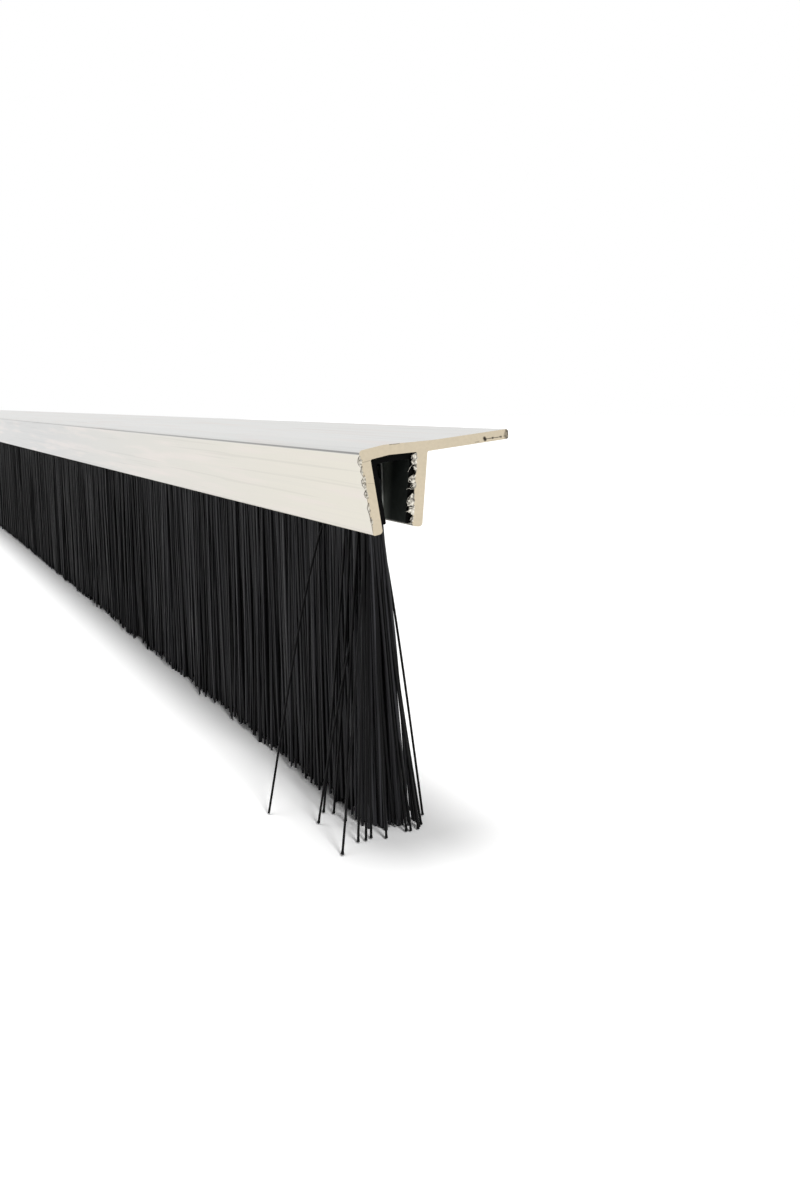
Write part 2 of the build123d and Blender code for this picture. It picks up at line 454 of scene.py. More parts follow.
@dataclass(frozen=True)
class TornAluminium:
    """Torn aluminium that the saw left on the edges: rough, grey in its hollows, bright on its rims."""

    name: str = "torn aluminium burr"
    bright: str = "#D8D3C8"
    dull: str = "#6E6A63"
    roughness: float = 0.42
    crumple_mm: float = 0.35
    crumple_depth_mm: float = 0.08
    rim_level: tuple[float, float] = (0.38, 0.6)

    def build(self) -> bpy.types.Material:
        """Build the node material.

        Returns:
            The finished material.
        """
        material, tree = new_material(self.name)
        place = add_node(tree, "ShaderNodeTexCoord").outputs["Object"]
        crumple = add_node(tree, "ShaderNodeTexNoise", {"Vector": place, "Detail": 3.0,
                                                        "Scale": per_metre(self.crumple_mm)})
        # Painted shade in the hollows and painted highlight on the rims, from the same noise as the bumps
        split = add_node(tree, "ShaderNodeMapRange", {"Value": crumple.outputs["Fac"],
                                                      "From Min": self.rim_level[0],
                                                      "From Max": self.rim_level[1]})
        mixed = add_node(tree, "ShaderNodeMix", {"Factor": split, 6: colour(self.dull),
                                                 7: colour(self.bright)}, data_type="RGBA")
        bump = add_node(tree, "ShaderNodeBump", {"Height": crumple.outputs["Fac"], "Strength": 0.8,
                                                 "Distance": self.crumple_depth_mm * MM})
        shader = add_node(tree, "ShaderNodeBsdfPrincipled", {
            "Base Color": mixed.outputs[2], "Metallic": 1.0, "Roughness": self.roughness, "Normal": bump})
        add_node(tree, "ShaderNodeOutputMaterial", {"Surface": shader})
        return material


@dataclass(frozen=True)
class BlackBacking:
    """Black moulded plastic backing: dull, nearly black at its cut ends, greyer on its long walls.

    A pale band of painted light lies on its walls just outside both ends of the strip.
    """

    # Nearly black cut ends and greyer long walls: painted shading of the faces
    end: str = "#030303"
    body: str = "#232624"
    worn: str = "#363A38"
    lit_band: str = "#858A84"
    lit_band_mm: float = 2.6
    lit_band_fall: float = 1.5
    roughness: float = 0.55
    ior: float = 1.5
    specular: float = 0.05
    grain_mm: float = 0.8
    grain_depth_mm: float = 0.03

    def build(self, strip_reach: float) -> bpy.types.Material:
        """Build the node material.

        Args:
            strip_reach: how far the filament strip reaches from the middle, in metres.

        Returns:
            The finished material.
        """
        material, tree = new_material("black moulded plastic backing")
        place = add_node(tree, "ShaderNodeTexCoord").outputs["Object"]
        grain = add_node(tree, "ShaderNodeTexNoise", {"Vector": place, "Detail": 3.0,
                                                      "Scale": per_metre(self.grain_mm)})
        walls = add_node(tree, "ShaderNodeMix", {"Factor": grain.outputs["Fac"], 6: colour(self.body),
                                                 7: colour(self.worn)}, data_type="RGBA")
        axes = add_node(tree, "ShaderNodeSeparateXYZ", {0: place})
        reach = add_node(tree, "ShaderNodeMath", {0: axes.outputs["Y"]}, operation="ABSOLUTE")
        # Painted light: a pale band on the walls just outside the strip's ends, fading away from them
        beyond = add_node(tree, "ShaderNodeMapRange", {
            "Value": reach, "From Min": strip_reach, "To Min": 1.0, "To Max": 0.0,
            "From Max": strip_reach + self.lit_band_mm * MM})
        fade = add_node(tree, "ShaderNodeMath", {0: beyond, 1: self.lit_band_fall}, operation="POWER")
        lit_banded = add_node(tree, "ShaderNodeMix", {"Factor": fade, 6: walls.outputs[2],
                                                   7: colour(self.lit_band)}, data_type="RGBA")
        # Faces turned along the strip get the dark end colour: painted shading by which way a face turns
        facing = add_node(tree, "ShaderNodeNewGeometry").outputs["True Normal"]
        turned = add_node(tree, "ShaderNodeSeparateXYZ", {0: facing})
        square = add_node(tree, "ShaderNodeMath", {0: turned.outputs["Y"]}, operation="ABSOLUTE")
        cut = add_node(tree, "ShaderNodeMath", {0: square, 1: 0.5}, operation="GREATER_THAN")
        mixed = add_node(tree, "ShaderNodeMix", {"Factor": cut, 6: lit_banded.outputs[2],
                                                 7: colour(self.end)}, data_type="RGBA")
        bump = add_node(tree, "ShaderNodeBump", {"Height": grain.outputs["Fac"], "Strength": 0.3,
                                                 "Distance": self.grain_depth_mm * MM})
        shader = add_node(tree, "ShaderNodeBsdfPrincipled", {
            "Base Color": mixed.outputs[2], "Roughness": self.roughness, "IOR": self.ior,
            "Specular IOR Level": self.specular, "Normal": bump})
        add_node(tree, "ShaderNodeOutputMaterial", {"Surface": shader})
        return material


@dataclass(frozen=True)
class GalvanisedWire:
    """Drawn and galvanised steel wire: dull grey, with fine lines from the drawing die."""

    body: str = "#9C9FA1"
    dull: str = "#74777A"
    roughness: float = 0.45
    spangle_mm: float = 1.6

    def build(self) -> bpy.types.Material:
        """Build the node material.

        Returns:
            The finished material.
        """
        material, tree = new_material("galvanised steel wire")
        place = add_node(tree, "ShaderNodeTexCoord").outputs["Object"]
        spangle = add_node(tree, "ShaderNodeTexNoise", {"Vector": place, "Detail": 2.0,
                                                        "Scale": per_metre(self.spangle_mm)})
        mixed = add_node(tree, "ShaderNodeMix", {"Factor": spangle.outputs["Fac"], 6: colour(self.body),
                                                 7: colour(self.dull)}, data_type="RGBA")
        shader = add_node(tree, "ShaderNodeBsdfPrincipled", {
            "Base Color": mixed.outputs[2], "Metallic": 1.0, "Roughness": self.roughness})
        add_node(tree, "ShaderNodeOutputMaterial", {"Surface": shader})
        return material


@dataclass(frozen=True)
class BlackFilament:
    """Extruded polypropylene filament: black, smooth, with a narrow highlight along each side.

    The tone attribute makes each filament a little darker or greyer than its neighbours, and each stretch
    scales it, palest near the cut end: a painted highlight. The paler it is, the glossier.
    """

    dark: str = "#050506"
    pale: str = "#3C3C3F"
    dull_roughness: float = 0.52
    glossy_roughness: float = 0.32
    specular: float = 0.14

    def build(self) -> bpy.types.Material:
        """Build the node material.

        Returns:
            The finished material.
        """
        material, tree = new_material("black polypropylene filament")
        tone = add_node(tree, "ShaderNodeAttribute", attribute_name="tone")
        mixed = add_node(tree, "ShaderNodeMix", {"Factor": tone.outputs["Fac"], 6: colour(self.dark),
                                                 7: colour(self.pale)}, data_type="RGBA")
        gloss = add_node(tree, "ShaderNodeMapRange", {"Value": tone.outputs["Fac"],
                                                      "To Min": self.dull_roughness,
                                                      "To Max": self.glossy_roughness})
        shader = add_node(tree, "ShaderNodeBsdfPrincipled", {
            "Base Color": mixed.outputs[2], "Roughness": gloss, "IOR": POLYPROPYLENE_IOR,
            "Specular IOR Level": self.specular})
        add_node(tree, "ShaderNodeOutputMaterial", {"Surface": shader})
        return material


@dataclass(frozen=True)
class HighlightFilament:
    """Polypropylene filament at the end of the strip, painted mid grey and mottled: a painted highlight
    line.
    """

    body: str = "#A3A6A1"
    roughness: float = 0.5
    mottle_mm: float = 0.5
    mottle_shade: float = 0.6

    def build(self) -> bpy.types.Material:
        """Build the node material.

        Returns:
            The finished material.
        """
        material, tree = new_material("highlighted polypropylene filament")
        place = add_node(tree, "ShaderNodeTexCoord").outputs["Object"]
        mottle = add_node(tree, "ShaderNodeTexNoise", {"Vector": place, "Detail": 2.0,
                                                      "Scale": per_metre(self.mottle_mm)})
        shade = add_node(tree, "ShaderNodeMapRange", {
            "Value": mottle.outputs["Fac"], "From Min": NOISE_LOW, "From Max": NOISE_HIGH,
            "To Min": self.mottle_shade})
        mixed = add_node(tree, "ShaderNodeMix", {"Factor": 1.0, 6: colour(self.body), 7: shade},
                         data_type="RGBA", blend_type="MULTIPLY")
        shader = add_node(tree, "ShaderNodeBsdfPrincipled", {
            "Base Color": mixed.outputs[2], "Roughness": self.roughness, "IOR": POLYPROPYLENE_IOR})
        add_node(tree, "ShaderNodeOutputMaterial", {"Surface": shader})
        return material


def add_sockets(tree: bpy.types.NodeTree, kinds: dict[str, str]) -> None:
    """Give a geometry tree its named inputs and its one output.

    Args:
        tree: the geometry node tree.
        kinds: the kind of socket of each input, by name.
    """
    for name, kind in kinds.items():
        tree.interface.new_socket(name=name, in_out="INPUT", socket_type="NodeSocket" + kind)
    tree.interface.new_socket(name="Geometry", in_out="OUTPUT", socket_type="NodeSocketGeometry")


def grow(name: str, tree: bpy.types.NodeTree, values: dict[str, Any]) -> bpy.types.Object:
    """Run a geometry tree once and keep what it makes as a plain mesh.

    Args:
        name: the name of the new piece.
        tree: the geometry node tree.
        values: what each named input takes.

    Returns:
        The new object, at the origin, with no modifier.
    """
    seed = add_object(name + "_seed", bpy.data.meshes.new(name + "_seed"))
    modifier = seed.modifiers.new("Nodes", "NODES")
    modifier.node_group = tree
    for item in tree.interface.items_tree:
        if item.item_type == "SOCKET" and item.in_out == "INPUT":
            modifier[item.identifier] = values[item.name]
    graph = bpy.context.evaluated_depsgraph_get()
    mesh = bpy.data.meshes.new_from_object(seed.evaluated_get(graph))
    bpy.data.objects.remove(seed)
    mesh.name = name
    return add_object(name, mesh)


def start_row(tree: bpy.types.NodeTree, points: Source, count: Source) -> bpy.types.Node:
    """Add a row of equal strands, which are put in their places later.

    Args:
        tree: the geometry node tree.
        points: how many points a strand has.
        count: how many strands there are.

    Returns:
        The node whose outputs are the strands and the number of each.
    """
    line = add_node(tree, "GeometryNodeCurvePrimitiveLine")
    strand = add_node(tree, "GeometryNodeResampleCurve", {"Curve": line, "Count": points})
    return add_node(tree, "GeometryNodeDuplicateElements", {0: strand, "Amount": count}, domain="SPLINE")


def finish_row(tree: bpy.types.NodeTree, sizes: Sockets, strands: Source, tone: Source,
               sides: Source) -> None:
    """Give strands their tone and a round section, and end the tree with their material.

    Args:
        tree: the geometry node tree.
        sizes: the tree's inputs, with Diameter and Material among them.
        strands: the strands, each in its place.
        tone: how pale each strand is.
        sides: how many sides a filament has.
    """
    toned = add_node(tree, "GeometryNodeStoreNamedAttribute", {
        "Geometry": strands, "Name": "tone", "Value": tone}, data_type="FLOAT", domain="POINT")
    radius = add_node(tree, "ShaderNodeMath", {0: sizes["Diameter"], 1: 0.5}, operation="MULTIPLY")
    section = add_node(tree, "GeometryNodeCurvePrimitiveCircle", {"Resolution": sides, "Radius": radius})
    skin = add_node(tree, "GeometryNodeCurveToMesh", {"Curve": toned, "Profile Curve": section,
                                                      "Fill Caps": True})
    smooth = add_node(tree, "GeometryNodeSetShadeSmooth", {"Geometry": skin})
    real = add_node(tree, "GeometryNodeRealizeInstances", {"Geometry": smooth})
    dressed = add_node(tree, "GeometryNodeSetMaterial", {"Geometry": real, "Material": sizes["Material"]})
    add_node(tree, "NodeGroupOutput", {0: dressed})


def filament_tree() -> bpy.types.NodeTree:
    """Geometry tree that grows a row of filaments from a lip down to their trimmed tips.

    Each filament starts at its share of the root box and ends at its share of the tip box. On its
    way it leans with its neighbours, strays a little by itself and bows. Its last ring is wider,
    where the blade crushed it.

    Returns:
        The geometry node tree.
    """
    bulb_start = 0.988
    tip_only = 0.999
    trim_power = 2.5
    lean_power = 1.4
    tree = bpy.data.node_groups.new("filament row", "GeometryNodeTree")
    add_sockets(tree, {
        "Count": "Int", "Sides": "Int", "Segments": "Int", "Diameter": "Float", "Root Corner": "Vector",
        "Root Span": "Vector", "Tip Corner": "Vector", "Tip Span": "Vector", "Mixing": "Float",
        "Clump Period": "Vector", "Clump Sway": "Vector", "Stray Sway": "Vector", "Bow": "Vector",
        "Flare": "Float", "Tone Start": "Float", "Tone End": "Float", "Seed": "Int",
        "Material": "Material"})
    sizes = add_node(tree, "NodeGroupInput").outputs
    rings = add_node(tree, "ShaderNodeMath", {0: sizes["Segments"], 1: 1.0}, operation="ADD")
    row = start_row(tree, rings, sizes["Count"])
    number = row.outputs["Duplicate Index"]

    # Each draw has its own seed, a fixed step from the piece's
    draws = []
    for seed_step, low, high in ((0, (0, 0, 0), (1, 1, 1)), (17, (0, 0, 0), (1, 1, 1)),
                                 (31, (-1, -1, 0), (1, 1, 0)), (47, (-1, -1, 0), (1, 1, 0))):
        seed = add_node(tree, "ShaderNodeMath", {0: sizes["Seed"], 1: seed_step}, operation="ADD")
        draws.append(add_node(tree, "FunctionNodeRandomValue", {
            "Min": low, "Max": high, "ID": number, "Seed": seed}, data_type="FLOAT_VECTOR"))
    root_draw, tip_draw, bow_draw, stray_draw = draws
    root_axes = add_node(tree, "ShaderNodeSeparateXYZ", {0: root_draw}).outputs
    tip_axes = add_node(tree, "ShaderNodeSeparateXYZ", {0: tip_draw}).outputs

    # Shares of the root box: across at random, along in turn, so that no stretch stays bare
    step = add_node(tree, "ShaderNodeMath", {0: number, 1: root_axes["Y"]}, operation="ADD")
    along = add_node(tree, "ShaderNodeMath", {0: step, 1: sizes["Count"]}, operation="DIVIDE")
    root_share = add_node(tree, "ShaderNodeCombineXYZ", {"X": root_axes["X"], "Y": along})
    root = add_node(tree, "ShaderNodeVectorMath", {0: root_share, 1: sizes["Root Span"],
                                                   2: sizes["Root Corner"]}, operation="MULTIPLY_ADD")
    across = add_node(tree, "ShaderNodeMix", {"Factor": sizes["Mixing"], 2: root_axes["X"],
                                              3: tip_axes["X"]})
    trim = add_node(tree, "ShaderNodeMath", {0: tip_axes["Z"], 1: trim_power}, operation="POWER")
    tip_share = add_node(tree, "ShaderNodeCombineXYZ", {"X": across, "Y": along, "Z": trim})
    tip = add_node(tree, "ShaderNodeVectorMath", {0: tip_share, 1: sizes["Tip Span"],
                                                  2: sizes["Tip Corner"]}, operation="MULTIPLY_ADD")

    # Rings lie evenly down the filament, and the last two close together at the cut tip
    down = add_node(tree, "GeometryNodeSplineParameter").outputs["Factor"]
    last = add_node(tree, "ShaderNodeMath", {0: sizes["Segments"], 1: -1.0}, operation="ADD")
    body_end = add_node(tree, "ShaderNodeMath", {0: last, 1: sizes["Segments"]}, operation="DIVIDE")
    body = add_node(tree, "ShaderNodeMapRange", {"Value": down, "From Max": body_end,
                                                 "To Max": bulb_start})
    at_tip = add_node(tree, "ShaderNodeMapRange", {"Value": down, "From Min": tip_only})
    drop = add_node(tree, "ShaderNodeMath", {0: at_tip, 1: 1 - bulb_start, 2: body},
                    operation="MULTIPLY_ADD")
    straight = add_node(tree, "ShaderNodeMix", {"Factor": drop, 4: root, 5: tip}, data_type="VECTOR")

    # Neighbours lean together, and a few filaments stray on their own
    period = add_node(tree, "ShaderNodeVectorMath", {0: root, 1: sizes["Clump Period"]},
                      operation="DIVIDE")
    clump = add_node(tree, "ShaderNodeTexNoise", {"Vector": period, "Scale": 1.0, "Detail": 2.0,
                                                  "Roughness": 0.6})
    centred = add_node(tree, "ShaderNodeVectorMath", {0: clump.outputs["Color"], 1: (0.5, 0.5, 0.5)},
                       operation="SUBTRACT")
    clump_sway = add_node(tree, "ShaderNodeVectorMath", {0: centred, 1: sizes["Clump Sway"]},
                          operation="MULTIPLY")
    squared = add_node(tree, "ShaderNodeVectorMath", {0: stray_draw, 1: stray_draw}, operation="MULTIPLY")
    cubed = add_node(tree, "ShaderNodeVectorMath", {0: squared, 1: stray_draw}, operation="MULTIPLY")
    sway = add_node(tree, "ShaderNodeVectorMath", {0: cubed, 1: sizes["Stray Sway"], 2: clump_sway},
                    operation="MULTIPLY_ADD")
    growing = add_node(tree, "ShaderNodeMath", {0: drop, 1: lean_power}, operation="POWER")
    leaning = add_node(tree, "ShaderNodeVectorMath", {0: sway, "Scale": growing}, operation="SCALE")
    rest = add_node(tree, "ShaderNodeMath", {0: 1.0, 1: drop}, operation="SUBTRACT")
    belly = add_node(tree, "ShaderNodeMath", {0: drop, 1: rest}, operation="MULTIPLY")
    bow_size = add_node(tree, "ShaderNodeVectorMath", {0: bow_draw, 1: sizes["Bow"]},
                        operation="MULTIPLY")
    bowing = add_node(tree, "ShaderNodeVectorMath", {0: bow_size, "Scale": belly}, operation="SCALE")
    bent = add_node(tree, "ShaderNodeVectorMath", {0: leaning, 1: bowing}, operation="ADD")
    place = add_node(tree, "ShaderNodeVectorMath", {0: straight.outputs[1], 1: bent}, operation="ADD")
    placed = add_node(tree, "GeometryNodeSetPosition", {"Geometry": row.outputs["Geometry"],
                                                        "Position": place})

    flare = add_node(tree, "ShaderNodeMath", {0: at_tip, 1: tip_axes["Y"]}, operation="MULTIPLY")
    swell = add_node(tree, "ShaderNodeMath", {0: flare, 1: sizes["Flare"], 2: 1.0},
                     operation="MULTIPLY_ADD")
    swollen = add_node(tree, "GeometryNodeSetCurveRadius", {"Curve": placed, "Radius": swell})
    palest = add_node(tree, "ShaderNodeMix", {"Factor": along, 2: sizes["Tone Start"],
                                              3: sizes["Tone End"]})
    tone = add_node(tree, "ShaderNodeMath", {0: tip_axes["Y"], 1: palest}, operation="MULTIPLY")
    finish_row(tree, sizes, swollen, tone, sizes["Sides"])
    return tree


class Detail(Enum):
    """Sides and segments of a filament, by how near it stands to the eye."""

    CLOSE = (8, 6)
    MIDDLE = (5, 4)
    FAR = (4, 3)


@dataclass(frozen=True)
class Stretch:
    """A stretch of the curtain, grown as one piece.

    Its tone changes from one end to the other, sway scales how far its filaments lean and bow, and
    per_mm is how many of them there are in a millimetre.
    """

    name: str
    start_mm: float
    length_mm: float
    detail: Detail
    tone: tuple[float, float]
    sway: float
    per_mm: float


@dataclass
class FilamentCurtain:
    """The curtain of filaments, from the lip of the backing channel down to the trimmed tips.

    Mixing is how far a tip's place across the row differs from its root's, and the fringe is how far
    the tips pass the sides of the curtain's solid.
    """

    lip_z: float
    tip_z: float
    strip_start: float
    strip_end: float
    exit_x: tuple[float, float]
    tip_x: tuple[float, float]
    finish: bpy.types.Material
    diameter: float = 0.4 * MM
    root_rise: float = 2.5 * MM
    end_spread: float = 1.0 * MM
    lean: float = 1.5 * MM
    trim: float = 2.6 * MM
    mixing: float = 0.3
    fringe: float = 0.4 * MM
    fan_root: float = 1.5 * MM
    fan_width: float = 9.4 * MM
    fan_depth: float = 5.0 * MM
    fan_shift: float = 0.6 * MM
    fan_count: int = 70
    # The near fan is the palest: painted highlight
    fan_tones: tuple[float, float] = (1.0, 0.5)
    fan_seeds: tuple[int, int] = (41, 43)
    first_seed: int = 11
    clump_period: tuple[float, float, float] = (3.0 * MM, 4.5 * MM, 1.0)
    clump_sway: tuple[float, float, float] = (2.2 * MM, 3.2 * MM, 0.0)
    stray_sway: tuple[float, float, float] = (1.6 * MM, 2.6 * MM, 0.0)
    bow: tuple[float, float, float] = (1.6 * MM, 2.4 * MM, 0.0)
    flare: float = 0.5
    close_mm: float = 60.0
    middle_mm: float = 340.0
    far_end_mm: float = 20.0
    pieces: list[bpy.types.Object] = field(default_factory=list)

    def stretches(self) -> list[Stretch]:
        """Cut the curtain into pieces, finest at the end nearest the eye.

        Returns:
            The stretches in order, from the cut end with the stray filaments.
        """
        whole = (self.strip_end - self.strip_start) / MM
        far = whole - self.close_mm - self.middle_mm - self.far_end_mm
        # Tones run from pale near the cut end to dark farther along: painted highlight on the near
        # filaments
        plan = [("filaments_near", self.close_mm, Detail.CLOSE, (1.0, 0.8), 1.0, 18.0),
                ("filaments_middle_a", self.middle_mm / 2, Detail.MIDDLE, (0.8, 0.35), 0.7, 20.0),
                ("filaments_middle_b", self.middle_mm / 2, Detail.MIDDLE, (0.35, 0.1), 0.45, 22.0),
                ("filaments_far_a", far / 2, Detail.FAR, (0.1, 0.1), 0.35, 24.0),
                ("filaments_far_b", far / 2, Detail.FAR, (0.1, 0.3), 0.35, 24.0),
                ("filaments_far_end", self.far_end_mm, Detail.CLOSE, (0.3, 0.5), 0.5, 18.0)]
        found = []
        start = 0.0
        for name, length, *looks in plan:
            found.append(Stretch(name, start, length, *looks))
            start += length
        return found

    def shared(self, start: float, length: float) -> dict[str, Any]:
        """Inputs that every stretch and fan shares: the filaments' own sizes and their root box.

        Args:
            start: where the root box starts along the strip.
            length: how far it runs.

        Returns:
            What each of those inputs takes, by name.
        """
        radius = self.diameter / 2
        exit_low, exit_high = self.exit_x[0] + radius, self.exit_x[1] - radius
        return {"Diameter": self.diameter, "Root Corner": (exit_low, start, self.lip_z + self.root_rise),
                "Root Span": (exit_high - exit_low, length, 0.0), "Mixing": self.mixing,
                "Clump Period": self.clump_period, "Flare": self.flare, "Material": self.finish}

    def build(self) -> None:
        """Grow each stretch of the curtain, and the fans at its ends, with the one filament tree."""
        tree = filament_tree()
        centre = (self.strip_start + self.strip_end) / 2
        spread = 1 + 2 * self.end_spread / (self.strip_end - self.strip_start)
        radius = self.diameter / 2
        tip_low = self.tip_x[0] - self.fringe + radius
        tip_high = self.tip_x[1] + self.fringe - radius
        for turn, stretch in enumerate(self.stretches()):
            start = self.strip_start + stretch.start_mm * MM
            length = stretch.length_mm * MM
            sides, segments = stretch.detail.value
            self.pieces.append(grow(stretch.name, tree, {
                **self.shared(start, length), "Count": round(stretch.length_mm * stretch.per_mm),
                "Sides": sides, "Segments": segments,
                "Tip Corner": (tip_low, centre + (start - centre) * spread - self.lean, self.tip_z),
                "Tip Span": (tip_high - tip_low, length * spread, self.trim),
                "Clump Sway": [size * stretch.sway for size in self.clump_sway],
                "Stray Sway": [size * stretch.sway for size in self.stray_sway],
                "Bow": [size * stretch.sway for size in self.bow],
                "Tone Start": stretch.tone[0], "Tone End": stretch.tone[1],
                "Seed": self.first_seed + turn}))
        self.build_fans(tree)

    def build_fans(self, tree: bpy.types.NodeTree) -> None:
        """Grow the filaments that splay out of both ends of the strip.

        Args:
            tree: the filament tree.
        """
        middle = (self.tip_x[0] + self.tip_x[1]) / 2 + self.fan_shift
        sides, segments = Detail.CLOSE.value
        far_start = self.strip_end - self.fan_root
        near_tip = self.strip_start - self.fan_depth + self.fan_root
        for name, root_y, tip_y, tone, seed in (
                ("fan_near", self.strip_start, near_tip, self.fan_tones[0], self.fan_seeds[0]),
                ("fan_far", far_start, far_start, self.fan_tones[1], self.fan_seeds[1])):
            self.pieces.append(grow(name, tree, {
                **self.shared(root_y, self.fan_root), "Count": self.fan_count, "Sides": sides,
                "Segments": segments, "Tip Corner": (middle - self.fan_width / 2, tip_y, self.tip_z),
                "Tip Span": (self.fan_width, self.fan_depth, self.trim),
                "Clump Sway": (0.0, 0.0, 0.0), "Stray Sway": self.stray_sway, "Bow": self.bow,
                "Tone Start": tone, "Tone End": tone, "Seed": seed}))


def fold_tree() -> bpy.types.NodeTree:
    """Geometry tree that bends filaments over a wire, with both legs down to the lip of a channel.

    Returns:
        The geometry node tree.
    """
    points = 21
    sides = 8
    leg_share = 0.2
    wrap = math.radians(100)
    tree = bpy.data.node_groups.new("folded filaments", "GeometryNodeTree")
    add_sockets(tree, {
        "Count": "Int", "Diameter": "Float", "Centre": "Vector", "Depth": "Float", "Fold Low": "Float",
        "Fold High": "Float", "Exit Low": "Float", "Exit High": "Float", "Exit Z": "Float",
        "Seed": "Int", "Material": "Material"})
    sizes = add_node(tree, "NodeGroupInput").outputs
    row = start_row(tree, points, sizes["Count"])
    draw = add_node(tree, "FunctionNodeRandomValue", {
        "Min": (0, 0, 0), "Max": (1, 1, 1), "ID": row.outputs["Duplicate Index"], "Seed": sizes["Seed"]},
        data_type="FLOAT_VECTOR")
    own = add_node(tree, "ShaderNodeSeparateXYZ", {0: draw}).outputs
    centre = add_node(tree, "ShaderNodeSeparateXYZ", {0: sizes["Centre"]}).outputs
    radius = add_node(tree, "ShaderNodeMapRange", {"Value": own["X"], "To Min": sizes["Fold Low"],
                                                   "To Max": sizes["Fold High"]})

    # The middle of each filament goes round the wire, and its two ends run down to the exit
    share = add_node(tree, "GeometryNodeSplineParameter").outputs["Factor"]
    turn = add_node(tree, "ShaderNodeMapRange", {"Value": share, "From Min": leg_share,
                                                 "From Max": 1 - leg_share, "To Min": -wrap,
                                                 "To Max": wrap})
    sine = add_node(tree, "ShaderNodeMath", {0: turn}, operation="SINE")
    cosine = add_node(tree, "ShaderNodeMath", {0: turn}, operation="COSINE")
    arc_x = add_node(tree, "ShaderNodeMath", {0: sine, 1: radius, 2: centre["X"]},
                     operation="MULTIPLY_ADD")
    arc_z = add_node(tree, "ShaderNodeMath", {0: cosine, 1: radius, 2: centre["Z"]},
                     operation="MULTIPLY_ADD")
    front_leg = add_node(tree, "ShaderNodeMapRange", {"Value": share, "From Min": leg_share,
                                                      "From Max": 0.0})
    rear_leg = add_node(tree, "ShaderNodeMapRange", {"Value": share, "From Min": 1 - leg_share})
    leg = add_node(tree, "ShaderNodeMath", {0: front_leg, 1: rear_leg}, operation="ADD")
    rear_side = add_node(tree, "ShaderNodeMath", {0: share, 1: 0.5}, operation="GREATER_THAN")
    inward = add_node(tree, "ShaderNodeMapRange", {"Value": own["X"], "To Min": 0.5, "To Max": 0.0})
    outward = add_node(tree, "ShaderNodeMath", {0: 1.0, 1: inward}, operation="SUBTRACT")
    across = add_node(tree, "ShaderNodeMix", {"Factor": rear_side, 2: inward, 3: outward})
    exit_x = add_node(tree, "ShaderNodeMix", {"Factor": across, 2: sizes["Exit Low"],
                                              3: sizes["Exit High"]})
    place_x = add_node(tree, "ShaderNodeMix", {"Factor": leg, 2: arc_x, 3: exit_x})
    place_y = add_node(tree, "ShaderNodeMath", {0: own["Y"], 1: sizes["Depth"], 2: centre["Y"]},
                       operation="MULTIPLY_ADD")
    place_z = add_node(tree, "ShaderNodeMix", {"Factor": leg, 2: arc_z, 3: sizes["Exit Z"]})
    place = add_node(tree, "ShaderNodeCombineXYZ", {0: place_x, 1: place_y, 2: place_z})
    placed = add_node(tree, "GeometryNodeSetPosition", {"Geometry": row.outputs["Geometry"],
                                                        "Position": place})
    finish_row(tree, sizes, placed, own["Z"], sides)
    return tree


